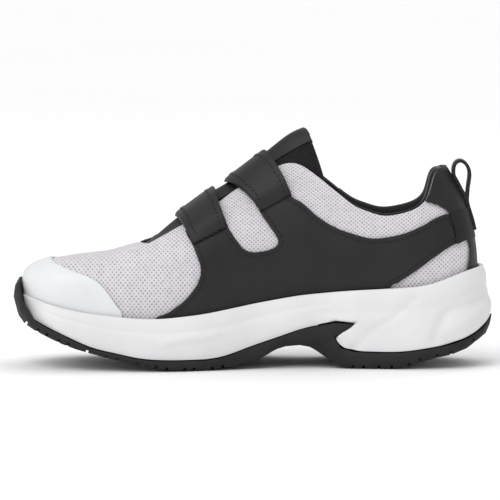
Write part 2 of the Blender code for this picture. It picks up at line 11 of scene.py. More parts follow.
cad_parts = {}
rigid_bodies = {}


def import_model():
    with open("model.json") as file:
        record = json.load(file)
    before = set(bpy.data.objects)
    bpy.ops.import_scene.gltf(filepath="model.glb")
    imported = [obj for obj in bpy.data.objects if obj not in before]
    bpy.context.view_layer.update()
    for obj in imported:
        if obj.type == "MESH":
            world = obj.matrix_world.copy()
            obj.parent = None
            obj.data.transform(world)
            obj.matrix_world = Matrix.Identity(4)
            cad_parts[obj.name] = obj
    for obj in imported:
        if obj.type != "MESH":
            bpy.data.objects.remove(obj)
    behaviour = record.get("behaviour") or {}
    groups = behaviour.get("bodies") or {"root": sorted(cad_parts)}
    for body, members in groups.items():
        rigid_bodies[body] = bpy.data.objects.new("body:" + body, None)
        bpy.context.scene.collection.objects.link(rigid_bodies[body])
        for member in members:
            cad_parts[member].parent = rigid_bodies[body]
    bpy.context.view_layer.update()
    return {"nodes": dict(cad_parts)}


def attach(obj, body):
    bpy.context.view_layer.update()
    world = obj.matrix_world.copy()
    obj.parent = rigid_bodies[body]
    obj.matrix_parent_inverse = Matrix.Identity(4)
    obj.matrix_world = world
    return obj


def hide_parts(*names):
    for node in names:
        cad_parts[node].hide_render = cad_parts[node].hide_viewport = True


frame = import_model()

BODY = "root"

# The shoe: its length lies along X, and its medial side faces -Y
MM = 0.001
LENGTH = 275.0 * MM
COLLAR_HEIGHT = 115.5 * MM
SHOE_MIDDLE = -0.75 * MM
HALF_WIDTH = 100.0 * MM
MEDIAL = -1.0
LATERAL = 1.0

# Overlays, seams and stitches
OVERLAY_GAP = 0.35 * MM
OVERLAY_THICKNESS = 1.1 * MM
STITCH_LENGTH = 2.2 * MM
STITCH_PITCH = 3.2 * MM
STITCH_RADIUS = 0.42 * MM
STITCH_LIFT = 0.18 * MM
# SEAM_LIFT and SEAM_WIDTH place the dark ribbon of painted shade under the stitches
SEAM_LIFT = 0.07 * MM
SEAM_WIDTH = 1.1 * MM
SEAM_INSET = 2.4 * MM
TONGUE_STRIP_HALF = 9.5 * MM
STRIP_THICKNESS = 0.8 * MM
BAND_LIFT = 0.7 * MM
BAND_THICKNESS = 0.8 * MM
LOOP_CLOSER = 1.3 * MM
SKIN_REACH = 0.15 * MM

# How the toe bumper leans on the toe cap: its outer and inner corners move by these
BUMPER_BEND = 38.0 * MM
BUMPER_ROUNDING = 13.5 * MM
BUMPER_LEAN = 3.4 * MM
BUMPER_LEAN_INNER = 5.8 * MM
BUMPER_DROP = 1.9 * MM
BUMPER_LIFT_INNER = 4.3 * MM
BUMPER_BACK = -118.0 * MM
BUMPER_AXIS = -95.0 * MM
INNER_FACING = -0.3

# The seams along the straps: rays turn round an axis in the shoe, by BORDER_TURN degrees at a time
BORDER_START = 8
BORDER_END = 83
BORDER_STEPS = 3
BORDER_TURN = 2.0
BORDER_LEAST = 9
BORDER_FULL = 18
BORDER_CORE = 30.0 * MM
STRAP_AXIS = 55.0 * MM
OUTER_FACING = 0.3

# The ribs under the tread
RIB_LENGTH = 258.0 * MM
RIB_HALF_WIDTH = 1.6 * MM
RIB_SET_BACK = 0.4 * MM
RIB_INSET = 5.5 * MM
RIB_THICKNESS = 2.2 * MM
RIB_PROBE = 9.0 * MM
FLANK_RISE = 3.2 * MM
FLANK_FALLBACK = 30.0 * MM
RIB_STEPS = 90

# Where rays start: under the floor, and to the side of the shoe
BELOW = -20.0 * MM
FAR = 200.0 * MM

# Lights, in watts, degrees and metres, and the camera
SUN_STRENGTH = 1.3
SUN_ANGLE = 50.0
TOP_POWER = 5.0
TOP_SIZE = 1.2
ROOM_LIGHT = 0.72
FLOOR_RADIUS = 30.0
CAMERA_DISTANCE = 2.6
CAMERA_ELEVATION = 5.0
SENSOR_WIDTH = 36.0
SHOE_SHARE = 480.0 / 500.0


# Materials

def linear(hex_colour):
    channels = [int(hex_colour[i:i + 2], 16) / 255.0 for i in (0, 2, 4)]
    return tuple(c / 12.92 if c <= 0.04045 else ((c + 0.055) / 1.055) ** 2.4 for c in channels) + (1.0,)


def node(tree, kind, settings=None, links=None):
    """Add a node with its settings and its links, given as input name to output socket."""
    made = tree.nodes.new(kind)
    for key, value in (settings or {}).items():
        if isinstance(key, str) and hasattr(made, key):
            setattr(made, key, value)
        else:
            made.inputs[key].default_value = value
    for key, source in (links or {}).items():
        tree.links.new(source, made.inputs[key])
    return made


def new_material(name, hex_colour, roughness, **sockets):
    made = bpy.data.materials.new(name)
    made.use_nodes = True
    shader = made.node_tree.nodes["Principled BSDF"]
    shader.inputs["Base Color"].default_value = linear(hex_colour)
    shader.inputs["Roughness"].default_value = roughness
    for key, value in sockets.items():
        shader.inputs[key.replace("_", " ")].default_value = value
    made.diffuse_color = linear(hex_colour)
    return made, made.node_tree, shader


def bump(tree, shader, height, distance, strength=1.0, under=None):
    links = {"Height": height}
    if under is not None:
        links["Normal"] = under.outputs["Normal"]
    made = node(tree, "ShaderNodeBump", {"Distance": distance, "Strength": strength}, links)
    tree.links.new(made.outputs["Normal"], shader.inputs["Normal"])
    return made


def object_place(tree):
    return node(tree, "ShaderNodeTexCoord").outputs["Object"]


def ramp(tree, source, stops):
    """A colour ramp from (position, hex colour) pairs."""
    made = node(tree, "ShaderNodeValToRGB", links={"Fac": source})
    elements = made.color_ramp.elements
    while len(elements) < len(stops):
        elements.new(0.5)
    for element, (position, colour) in zip(elements, stops):
        element.position = position
        element.color = linear(colour)
    return made.outputs["Color"]


def smooth_synthetic(name, dark, light, roughness, grain_mm=0.55, depth=0.05):
    """Polyurethane-coated synthetic leather, embossed by a roll: fine pores and a soft satin gloss."""
    made, tree, shader = new_material(name, dark, roughness, Specular_IOR_Level=0.35)
    place = object_place(tree)
    clouds = node(tree, "ShaderNodeTexNoise", {"Scale": 1.0 / (26.0 * MM), "Detail": 3.0}, {"Vector": place})
    colour = ramp(tree, clouds.outputs["Fac"], [(0.30, dark), (0.72, light)])
    tree.links.new(colour, shader.inputs["Base Color"])
    pores = node(tree, "ShaderNodeTexVoronoi", {"Scale": 1.0 / (grain_mm * MM)}, {"Vector": place})
    soft = node(tree, "ShaderNodeTexNoise", {"Scale": 1.0 / (4.0 * MM), "Detail": 4.0}, {"Vector": place})
    first = bump(tree, shader, pores.outputs["Distance"], depth * MM, 0.6)
    bump(tree, shader, soft.outputs["Fac"], 0.10 * MM, 0.5, first)
    return made


def staggered_dots(tree, vector, pitch_u, pitch_v):
    """Distance to the nearest point of a staggered grid: 0 in a pinhole, about 0.5 between them."""
    found = []
    for shift in (0.0, 0.5):
        mapped = node(tree, "ShaderNodeMapping",
                      {"Scale": (1.0 / pitch_u, 1.0 / pitch_v, 1.0), "Location": (shift, shift, 0.0)},
                      {"Vector": vector})
        cells = node(tree, "ShaderNodeTexVoronoi",
                     {"voronoi_dimensions": "2D", "Scale": 1.0, "Randomness": 0.0},
                     {"Vector": mapped.outputs["Vector"]})
        found.append(cells.outputs["Distance"])
    near = node(tree, "ShaderNodeMath", {"operation": "MINIMUM"})
    tree.links.new(found[0], near.inputs[0])
    tree.links.new(found[1], near.inputs[1])
    return near.outputs["Value"]


def knit_mesh(name, pinhole_shade, yarn, bright, pitch_u, pitch_v, hole_size, roughness, sheen):
    """Warp-knitted polyester spacer mesh: rows of small pinholes between pillars of soft yarn, with painted
    shade in the pinholes and a painted highlight on the yarn's crowns between them.
    """
    made, tree, shader = new_material(name, yarn, roughness, Sheen_Weight=sheen, Sheen_Roughness=0.5,
                                      Specular_IOR_Level=0.25)
    cloth_place = node(tree, "ShaderNodeUVMap", {"uv_map": "knit"}).outputs["UV"]
    wobble = node(tree, "ShaderNodeTexNoise", {"Scale": 1.0 / (9.0 * MM), "Detail": 2.0},
                  {"Vector": cloth_place})
    drift = node(tree, "ShaderNodeVectorMath", {"operation": "SCALE", "Scale": 0.9 * MM},
                 {0: wobble.outputs["Color"]})
    moved = node(tree, "ShaderNodeVectorMath", {"operation": "ADD"},
                 {0: cloth_place, 1: drift.outputs["Vector"]})
    dots = staggered_dots(tree, moved.outputs["Vector"], pitch_u, pitch_v)
    uneven = node(tree, "ShaderNodeTexNoise", {"Scale": 1.0 / (3.5 * MM), "Detail": 2.0},
                  {"Vector": cloth_place})
    held = node(tree, "ShaderNodeMath", {"operation": "MULTIPLY_ADD", 1: 0.22, 2: -0.11},
                {0: uneven.outputs["Fac"]})
    shrunk = node(tree, "ShaderNodeMath", {"operation": "ADD"}, {0: dots, 1: held.outputs["Value"]})
    # Painted shade darkens each pinhole; the yarn lightens away from them to a painted highlight on its
    # crowns.
    stops = [(hole_size * 0.45, pinhole_shade), (hole_size, yarn), (0.50, bright)]
    colour = ramp(tree, shrunk.outputs["Value"], stops)
    patches = node(tree, "ShaderNodeTexNoise", {"Scale": 1.0 / (14.0 * MM), "Detail": 3.0},
                   {"Vector": object_place(tree)})
    veil = node(tree, "ShaderNodeMix", {"data_type": "RGBA", "blend_type": "MULTIPLY", "Factor": 0.35},
                {"A": colour, "B": ramp(tree, patches.outputs["Fac"], [(0.3, "e9e6ea"), (0.7, "ffffff")])})
    tree.links.new(veil.outputs["Result"], shader.inputs["Base Color"])
    fuzz = node(tree, "ShaderNodeTexNoise", {"Scale": 1.0 / (0.5 * MM), "Detail": 2.0},
                {"Vector": object_place(tree)})
    first = bump(tree, shader, dots, 0.9 * MM, 0.8)
    bump(tree, shader, fuzz.outputs["Fac"], 0.15 * MM, 0.5, first)
    return made


def moulded_foam(name, shade, light, roughness):
    """EVA foam, compression moulded: a closed skin with a faint orange peel and a milky sheen."""
    made, tree, shader = new_material(name, light, roughness, Subsurface_Weight=0.06,
                                      Subsurface_Scale=3.0 * MM, Specular_IOR_Level=0.35)
    place = object_place(tree)
    clouds = node(tree, "ShaderNodeTexNoise", {"Scale": 1.0 / (30.0 * MM), "Detail": 2.0}, {"Vector": place})
    colour = ramp(tree, clouds.outputs["Fac"], [(0.3, shade), (0.7, light)])
    tree.links.new(colour, shader.inputs["Base Color"])
    peel = node(tree, "ShaderNodeTexNoise", {"Scale": 1.0 / (1.1 * MM), "Detail": 3.0}, {"Vector": place})
    bump(tree, shader, peel.outputs["Fac"], 0.05 * MM, 0.5)
    return made


def moulded_rubber(name, dark, light):
    """Carbon rubber, press moulded: matt, with a sandblasted tooth."""
    made, tree, shader = new_material(name, dark, 0.72, Specular_IOR_Level=0.38)
    place = object_place(tree)
    clouds = node(tree, "ShaderNodeTexNoise", {"Scale": 1.0 / (12.0 * MM), "Detail": 4.0}, {"Vector": place})
    colour = ramp(tree, clouds.outputs["Fac"], [(0.3, dark), (0.7, light)])
    tree.links.new(colour, shader.inputs["Base Color"])
    tooth = node(tree, "ShaderNodeTexNoise", {"Scale": 1.0 / (0.6 * MM), "Detail": 4.0}, {"Vector": place})
    bump(tree, shader, tooth.outputs["Fac"], 0.14 * MM, 0.7)
    return made


def ribbed_webbing(name, dark, light):
    """Nylon webbing, woven with ribs across its width, with painted shade in the troughs and a painted
    highlight on the crests.
    """
    made, tree, shader = new_material(name, dark, 0.85, Sheen_Weight=0.2)
    place = object_place(tree)
    ribs = node(tree, "ShaderNodeTexWave", {"wave_type": "BANDS", "bands_direction": "Z",
                                            "Scale": 0.5 / (1.4 * MM) / math.pi, "Distortion": 0.6},
                {"Vector": place})
    # The ribs' colour follows their relief: painted shade in the troughs, painted highlight on the crests.
    tree.links.new(ramp(tree, ribs.outputs["Fac"], [(0.2, dark), (0.8, light)]), shader.inputs["Base Color"])
    bump(tree, shader, ribs.outputs["Fac"], 0.35 * MM, 0.8)
    return made


def brushed_cloth(name, dark, light):
    """Brushed polyester over foam, as on a footbed or a lining."""
    made, tree, shader = new_material(name, dark, 0.95, Sheen_Weight=0.25)
    place = object_place(tree)
    nap = node(tree, "ShaderNodeTexNoise", {"Scale": 1.0 / (0.8 * MM), "Detail": 5.0}, {"Vector": place})
    tree.links.new(ramp(tree, nap.outputs["Fac"], [(0.3, dark), (0.7, light)]), shader.inputs["Base Color"])
    bump(tree, shader, nap.outputs["Fac"], 0.3 * MM, 0.7)
    return made


def bonded_thread(name, dark, light):
    """Bonded nylon thread, twisted and waxed: a tight twist with a small gloss, its bands carrying painted
    shade and painted highlights.
    """
    made, tree, shader = new_material(name, dark, 0.55, Specular_IOR_Level=0.45)
    twist = node(tree, "ShaderNodeTexWave", {"wave_type": "BANDS", "bands_direction": "DIAGONAL",
                                             "Scale": 0.5 / (0.7 * MM) / math.pi, "Distortion": 0.4},
                 {"Vector": object_place(tree)})
    # The twist's bands are painted shade and painted highlight that follow the plies.
    tree.links.new(ramp(tree, twist.outputs["Fac"], [(0.3, dark), (0.7, light)]), shader.inputs["Base Color"])
    bump(tree, shader, twist.outputs["Fac"], 0.12 * MM, 0.6)
    return made


# Modelling helpers

def deselect():
    if bpy.context.object and bpy.context.object.mode != "OBJECT":
        bpy.ops.object.mode_set(mode="OBJECT")
    bpy.ops.object.select_all(action="DESELECT")


def only(obj):
    deselect()
    obj.select_set(True)
    bpy.context.view_layer.objects.active = obj


def apply(obj, kind, **settings):
    """Add a modifier with its settings and apply it."""
    only(obj)
    change = obj.modifiers.new(kind.title(), kind)
    for key, value in settings.items():
        setattr(change, key, value)
    bpy.ops.object.modifier_apply(modifier=change.name)


def subdivide(obj):
    apply(obj, "SUBSURF", levels=2, render_levels=2)


def soften(obj, width, degrees=60.0):
    """Round over the edges of a piece that are sharper than an angle."""
    apply(obj, "BEVEL", width=width, segments=2, limit_method="ANGLE", angle_limit=math.radians(degrees))


def linked(name, data):
    """A new object with this data, in the scene."""
    made = bpy.data.objects.new(name, data)
    bpy.context.scene.collection.objects.link(made)
    return made


def copy_of(name, new_name):
    """A copy of a CAD node with its corners merged and its faces made quads again."""
    deselect()
    made = linked(new_name, frame["nodes"][name].data.copy())
    made.hide_render = False
    made.data.materials.clear()
    only(made)
    bpy.ops.object.mode_set(mode="EDIT")
    bpy.ops.mesh.select_all(action="SELECT")
    bpy.ops.mesh.remove_doubles(threshold=0.00001)
    bpy.ops.mesh.tris_convert_to_quads(face_threshold=math.radians(40), shape_threshold=math.radians(60))
    bpy.ops.object.mode_set(mode="OBJECT")
    return made


def crease_sharp(obj, degrees, weight):
    """Keep the edges that are sharper than an angle crisp under a subdivision."""
    only(obj)
    bpy.ops.object.mode_set(mode="EDIT")
    bpy.ops.mesh.select_mode(type="EDGE")
    bpy.ops.mesh.select_all(action="DESELECT")
    bpy.ops.mesh.edges_select_sharp(sharpness=math.radians(degrees))
    bpy.ops.transform.edge_crease(value=weight)
    bpy.ops.object.mode_set(mode="OBJECT")


def shade(obj, degrees=40.0):
    only(obj)
    bpy.ops.object.shade_smooth_by_angle(angle=math.radians(degrees))


def finish_piece(obj, material, slot, *nodes):
    """Give a piece its material, its body and the CAD nodes that it stands for."""
    obj.data.materials.clear()
    obj.data.materials.append(material)
    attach(obj, BODY)
    if nodes:
        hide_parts(*nodes)
    return obj


def knit_map(obj):
    """A UV map in metres that runs along the shoe and round its sides, for the knit."""
    layer = obj.data.uv_layers.new(name="knit")
    axis = 0.040
    for loop in obj.data.loops:
        place = obj.data.vertices[loop.vertex_index].co
        around = math.atan2(place.z - axis, abs(place.y))
        layer.data[loop.index].uv = (place.x, around * math.hypot(place.y, place.z - axis))


def point_at(along, rise, height=COLLAR_HEIGHT):
    return (along - 0.5) * LENGTH, rise * height


def rounded(points, steps=6):
    """A smooth closed line through the points, as a Catmull-Rom curve."""
    count = len(points)
    line = []
    for i in range(count):
        a, b, c, d = (Vector(points[(i + k) % count]) for k in (-1, 0, 1, 2))
        for step in range(steps):
            t = step / steps
            line.append(0.5 * ((2 * b) + (c - a) * t + (2 * a - 5 * b + 4 * c - d) * t * t
                               + (3 * b - a - 3 * c + d) * t ** 3))
    return line


def outline_block(name, outline, near, far):
    """A block with the side outline of an overlay, drawn out across the shoe."""
    line = rounded([point_at(*place) for place in outline])
    work = bmesh.new()
    verts = [work.verts.new((x, near, z)) for x, z in line]
    work.faces.new(verts)
    mesh = bpy.data.meshes.new(name)
    work.to_mesh(mesh)
    work.free()
    made = linked(name, mesh)
    only(made)
    bpy.ops.object.mode_set(mode="EDIT")
    bpy.ops.mesh.select_all(action="SELECT")
    bpy.ops.mesh.extrude_region_move(TRANSFORM_OT_translate={"value": (0.0, far - near, 0.0)})
    bpy.ops.mesh.select_all(action="SELECT")
    bpy.ops.mesh.normals_make_consistent(inside=False)
    bpy.ops.object.mode_set(mode="OBJECT")
    return made


def remove(*objs):
    for obj in objs:
        bpy.data.objects.remove(obj, do_unlink=True)


# Side outlines of the overlays: shares of the length and of the collar height

TOE_CAP_OUTLINE = (
    (-0.050, 0.10), (0.100, 0.08), (0.234, 0.10), (0.2325, 0.270), (0.220, 0.322), (0.205, 0.377),
    (0.189, 0.421), (0.172, 0.449), (0.155, 0.467), (0.118, 0.495), (0.078, 0.531), (0.060, 0.580),
    (0.040, 0.700), (-0.050, 0.700),
)
SADDLE_OUTLINE = (
    (0.297, 0.150), (0.299, 0.253), (0.328, 0.288), (0.361, 0.346), (0.382, 0.405), (0.391, 0.450),
    (0.394, 0.490), (0.391, 0.531), (0.378, 0.610), (0.362, 0.690), (0.392, 0.752), (0.430, 0.790),
    (0.452, 0.690), (0.472, 0.620), (0.484, 0.590), (0.502, 0.576), (0.530, 0.584), (0.549, 0.605),
    (0.552, 0.640), (0.536, 0.700), (0.516, 0.770), (0.497, 0.880), (0.525, 0.925), (0.560, 0.935),
    (0.580, 0.850), (0.603, 0.814), (0.636, 0.746), (0.670, 0.697), (0.703, 0.668), (0.745, 0.643),
    (0.786, 0.652), (0.820, 0.673), (0.853, 0.707), (0.880, 0.742), (0.905, 0.758), (0.934, 0.752),
    (0.936, 0.650), (0.922, 0.615), (0.904, 0.595), (0.870, 0.541), (0.836, 0.482), (0.803, 0.429),
    (0.782, 0.384), (0.770, 0.150), (0.530, 0.100),
)
COUNTER_OUTLINE = (
    (0.846, 0.836), (0.848, 0.905), (0.858, 0.975), (0.868, 1.060), (0.960, 1.100), (1.050, 1.060),
    (1.060, 0.700), (1.050, 0.300), (0.990, 0.290), (0.942, 0.300), (0.944, 0.460), (0.950, 0.540),
    (0.950, 0.600), (0.941, 0.632), (0.918, 0.640), (0.912, 0.690), (0.906, 0.760), (0.884, 0.800),
)
BAND_OUTLINE = (
    (0.908, 0.757), (0.924, 0.772), (0.945, 0.781), (1.050, 0.786), (1.050, 0.645), (0.990, 0.636),
    (0.945, 0.628), (0.922, 0.612), (0.920, 0.652), (0.915, 0.702),
)
BAND_SEAM = ((0.9045, 0.748), (0.9105, 0.702), (0.9155, 0.655), (0.9170, 0.622))

# Lines pressed into the foam's sides: shares of the length and of the collar height, then their
# half width and depth in millimetres; a negative depth raises a ridge
FOAM_LINES = (
    (((0.992, 0.350), (0.950, 0.312), (0.905, 0.285), (0.884, 0.211), (0.876, 0.151)), 4.5, 1.3),
    (((0.985, 0.290), (0.955, 0.250), (0.915, 0.206)), 5.0, -0.9),
    (((0.834, 0.350), (0.790, 0.255), (0.755, 0.201), (0.707, 0.102)), 3.6, 0.8),
    (((0.318, 0.141), (0.353, 0.161), (0.422, 0.181)), 4.0, -0.7),
    (((0.645, 0.280), (0.680, 0.276)), 3.0, 0.6),
)

# Lines across the straps' ends, sewn and free: shares of the length and of the collar height
STRAP_ENDS = {
    "strap_front": ((0.378, 0.610), (0.447, 0.687)),
    "strap_rear": ((0.516, 0.760), (0.580, 0.843)),
}
STRAP_FREE_ENDS = {
    "strap_front": ((0.378, 0.535), (0.447, 0.612)),
    "strap_rear": ((0.516, 0.675), (0.580, 0.755)),
}


def along_outline(outline, inset):
    """The rounded outline, in metres in side view, moved inwards."""
    line = rounded([point_at(*place) for place in outline], 10)
    turned = sum(a.x * b.y - b.x * a.y for a, b in zip(line, line[1:] + line[:1]))
    sign = 1.0 if turned > 0.0 else -1.0
    moved = []
    for i, point in enumerate(line):
        run = (line[(i + 1) % len(line)] - line[i - 1]).normalized()
        moved.append(point + sign * inset * Vector((-run.y, run.x)))
    return moved


def straight(first, last, count=24):
    start, end = Vector(point_at(*first)), Vector(point_at(*last))
    return [start.lerp(end, i / count) for i in range(count + 1)]


def end_line(ends, along, rise):
    """A line across a strap's end, moved by shares of the length and of the collar height."""
    low, high = ends
    return straight((low[0] + along, low[1] + rise), (high[0] - along, high[1] + rise))


def surface(obj):
    return BVHTree.FromObject(obj, bpy.context.evaluated_depsgraph_get())


def places_on(starts, look, under, covers=()):
    """Places with normals where rays meet a piece, in runs that no other piece covers."""
    runs = [[]]
    for start in starts:
        place, normal, _, depth = under.ray_cast(start, look)
        near = [cover.ray_cast(start, look)[3] for cover in covers]
        if place is None or any(reach is not None and reach < depth for reach in near):
            runs.append([])
            continue
        runs[-1].append((place, normal if normal.dot(look) < 0.0 else -normal))
    return [run for run in runs if len(run) > 2]


def side_places(line, side, under, covers=()):
    starts = [Vector((point.x, side * FAR, point.y)) for point in line]
    return places_on(starts, Vector((0.0, -side, 0.0)), under, covers)


def even_steps(run, pitch):
    """Places at even steps along a run, each with its direction and normal."""
    found, travelled, due = [], 0.0, pitch / 2.0
    for (start, up), (end, _) in zip(run, run[1:]):
        length = (end - start).length
        while length > 0.0 and due <= travelled + length:
            found.append((start.lerp(end, (due - travelled) / length), (end - start).normalized(), up))
            due += pitch
        travelled += length
    return found


def one_stitch():
    """A stitch: a plump grain of thread, pinched where it dives into the layer."""
    deselect()
    bpy.ops.mesh.primitive_uv_sphere_add(segments=6, ring_count=6, radius=1.0)
    stitch = bpy.context.object
    bpy.ops.transform.rotate(value=math.radians(90.0), orient_axis="Y", center_override=(0.0, 0.0, 0.0))
    bpy.ops.object.transform_apply(rotation=True)
    for vert in stitch.data.vertices:
        vert.co.x *= STITCH_LENGTH / 2.0
        vert.co.y *= STITCH_RADIUS
        vert.co.z = (vert.co.z - 0.5 * abs(vert.co.x / STITCH_LENGTH * 2.0) ** 3) * STITCH_RADIUS
    return stitch


def sew(name, runs, slot, thread, shadow, pitch=STITCH_PITCH):
    """A seam: a dark ribbon of painted shade along the runs, standing in for the shade of a pressed channel,
    with a stitch at every pitch.
    """
    stitch = one_stitch()
    work = bmesh.new()
    for run in runs:
        edges = []
        for i, (place, up) in enumerate(run):
            step = run[min(i + 1, len(run) - 1)][0] - run[max(i - 1, 0)][0]
            across = up.cross(step).normalized() * SEAM_WIDTH / 2.0
            lifted = place + up * SEAM_LIFT
            edges.append((work.verts.new(lifted - across), work.verts.new(lifted + across)))
        for (a, b), (c, d) in zip(edges, edges[1:]):
            face = work.faces.new((a, c, d, b))
            # The ribbon's faces take the second material, the painted shade of the seam's channel.
            face.material_index = 1
            face.smooth = True
        for place, along, up in even_steps(run, pitch):
            beside = up.cross(along).normalized()
            turn = Matrix((along, beside, along.cross(beside))).transposed().to_4x4()
            turn.translation = place + up * STITCH_LIFT
            known = len(work.verts)
            work.from_mesh(stitch.data)
            work.verts.ensure_lookup_table()
            bmesh.ops.transform(work, matrix=turn, verts=work.verts[known:])
    remove(stitch)
    mesh = bpy.data.meshes.new(name)
    work.to_mesh(mesh)
    work.free()
    seam = linked(name, mesh)
    shade(seam, 60)
    finish_piece(seam, thread, slot)
    seam.data.materials.append(shadow)
    return seam


def press(obj, line, half_width, depth):
    """Press a soft channel into both sides of a piece along a line in side view."""
    points = [Vector((*point, 0.0)) for point in rounded_open([point_at(*place) for place in line])]
    moves = {}
    for vert in obj.data.vertices:
        flat = Vector((vert.co.x, vert.co.z, 0.0))
        away = half_width
        for start, end in zip(points, points[1:]):
            near, share = intersect_point_line(flat, start, end)
            near = start if share < 0.0 else end if share > 1.0 else near
            away = min(away, (flat - near).length)
        if away < half_width and abs(vert.normal.z) < 0.8:
            moves[vert.index] = vert.normal * depth * (1.0 - (away / half_width) ** 2) ** 2
    for index, move in moves.items():
        obj.data.vertices[index].co -= move


def rounded_open(points, steps=6):
    """A smooth open line through the points."""
    ends = [Vector(points[0]), *(Vector(point) for point in points), Vector(points[-1])]
    line = []
    for a, b, c, d in zip(ends, ends[1:], ends[2:], ends[3:]):
        for step in range(steps + 1):
            t = step / steps
            line.append(0.5 * ((2 * b) + (c - a) * t + (2 * a - 5 * b + 4 * c - d) * t * t
                               + (3 * b - a - 3 * c + d) * t ** 3))
    return line


def settle_end(strap, ends, under, reach=11.0 * MM, depth=2.0 * MM):
    """Let the sewn end of a strap sink onto the saddle below it."""
    start, end = (Vector((*point_at(*place), 0.0)) for place in ends)
    for vert in strap.data.vertices:
        if vert.co.y > 0.0:
            continue
        flat = Vector((vert.co.x, vert.co.z, 0.0))
        near, _ = intersect_point_line(flat, start, end)
        away = (flat - near).length
        if away < reach:
            share = away / reach
            normal = under.find_nearest(vert.co)[1]
            outward = normal if normal.y < 0.0 else -normal
            vert.co -= outward * depth * (1.0 - share * share * (3.0 - 2.0 * share))


def outer_skin():
    """The outer face of the upper as a smooth open sheet: its wall is cut away at the rims."""
    made = copy_of("upper", "skin")
    crease_sharp(made, 60, 1.0)
    subdivide(made)
    only(made)
    bpy.ops.object.mode_set(mode="EDIT")
    bpy.ops.mesh.select_mode(type="EDGE")
    bpy.ops.mesh.select_all(action="DESELECT")
    bpy.ops.mesh.edges_select_sharp(sharpness=math.radians(50))
    bpy.ops.mesh.edge_split(type="EDGE")
    bpy.ops.mesh.select_all(action="DESELECT")
    work = bmesh.from_edit_mesh(made.data)
    top = max(work.faces, key=lambda face: face.calc_center_median().z if face.calc_center_median().x < -0.08
              else -1.0)
    top.select_set(True)
    bmesh.update_edit_mesh(made.data)
    bpy.ops.mesh.select_linked()
    bpy.ops.mesh.select_all(action="INVERT")
    bpy.ops.mesh.delete(type="FACE")
    bpy.ops.object.mode_set(mode="OBJECT")
    return made


def overlay(skin, name, outline, near, far, material, slot, lift=0.0, thickness=OVERLAY_THICKNESS,
            stands_for=None):
    """An overlay cut from a layer on the upper, with its edge rounded over."""
    only(skin)
    bpy.ops.object.duplicate()
    layer = bpy.context.object
    layer.name = name
    layer.data.name = name
    if lift:
        apply(layer, "DISPLACE", strength=lift, mid_level=0.0)
    apply(layer, "SOLIDIFY", thickness=thickness, offset=1.0)
    block = outline_block(name + "_block", outline, near, far)
    apply(layer, "BOOLEAN", operation="INTERSECT", solver="EXACT", object=block)
    remove(block)
    soften(layer, 0.4 * MM)
    shade(layer, 50)
    return finish_piece(layer, material, slot, *([stands_for] if stands_for else []))


def line_inside(upper, outside, material):
    """Give the inner faces of the upper and its rims the finish of its lining."""
    upper.data.materials.append(material)
    for face in upper.data.polygons:
        if outside.find_nearest(face.center)[3] > SKIN_REACH:
            face.material_index = 1


def round_bumper(tread):
    """Round the top of the toe bumper over, so that it lies against the toe cap."""
    for vert in tread.data.vertices:
        rise = (vert.co.z - BUMPER_BEND) / BUMPER_ROUNDING
        if vert.co.x < BUMPER_BACK and rise > 0.0:
            outward = Vector((vert.co.x - BUMPER_AXIS, vert.co.y, 0.0)).normalized()
            inner = vert.normal.dot(outward) < INNER_FACING
            vert.co -= outward * (BUMPER_LEAN_INNER if inner else BUMPER_LEAN) * rise * rise
            vert.co.z += (BUMPER_LIFT_INNER if inner else -BUMPER_DROP) * rise


def nearest_hit(under, starts, look, axis, fallback):
    """The smallest distance from the origin, along an axis, of the places that rays meet."""
    places = [under.ray_cast(start, look)[0] for start in starts]
    return min([abs(place[axis]) for place in places if place], default=fallback)


def edge_rib(tread, side):
    """The low rib that closes the grooves a little way in from the tread's edge."""
    under = surface(tread)
    deselect()
    bpy.ops.mesh.primitive_grid_add(x_subdivisions=RIB_STEPS, y_subdivisions=1, size=1.0)
    rib = bpy.context.object
    rib.name = "tread_rib_inner" if side == MEDIAL else "tread_rib_outer"
    rib.data.name = rib.name
    up = Vector((0.0, 0.0, 1.0))
    inward = Vector((0.0, -side, 0.0))
    for vert in rib.data.vertices:
        x = vert.co.x * RIB_LENGTH
        beside = [x + step * MM for step in range(-2, 3)]
        starts = [Vector((place, SHOE_MIDDLE + RIB_PROBE, BELOW)) for place in beside]
        ground = nearest_hit(under, starts, up, 2, 1.0)
        starts = [Vector((place, side * FAR, ground + FLANK_RISE)) for place in beside]
        y = side * (nearest_hit(under, starts, inward, 1, FLANK_FALLBACK) - RIB_INSET)
        bottom = nearest_hit(under, [Vector((place, y, BELOW)) for place in beside], up, 2, ground)
        vert.co = (x, math.copysign(RIB_HALF_WIDTH, vert.co.y) + y, bottom + RIB_SET_BACK)
    apply(rib, "SMOOTH", factor=0.5, iterations=3)
    apply(rib, "SOLIDIFY", thickness=RIB_THICKNESS, offset=1.0)
    soften(rib, 0.3 * MM)
    shade(rib, 40)
    return rib


def strap_border(strap):
    """Places with normals along both long edges of a strap, a seam's inset from them."""
    over = surface(strap)
    runs = ([], [])
    for turn in range(BORDER_START, BORDER_END):
        angle = math.radians(BORDER_TURN * turn)
        out = Vector((0.0, math.cos(angle), math.sin(angle)))
        found = []
        for step in range(-60, 61):
            start = Vector((step * MM, 0.0, STRAP_AXIS)) + out * FAR
            place, normal, _, _ = over.ray_cast(start, -out, FAR - BORDER_CORE)
            if place and normal.dot(out) > OUTER_FACING:
                found.append((place, normal))
        if len(found) > BORDER_LEAST:
            runs[0].append(found[BORDER_STEPS])
        if len(found) > BORDER_FULL:
            runs[1].append(found[-1 - BORDER_STEPS])
    return [run for run in runs if len(run) > 2]


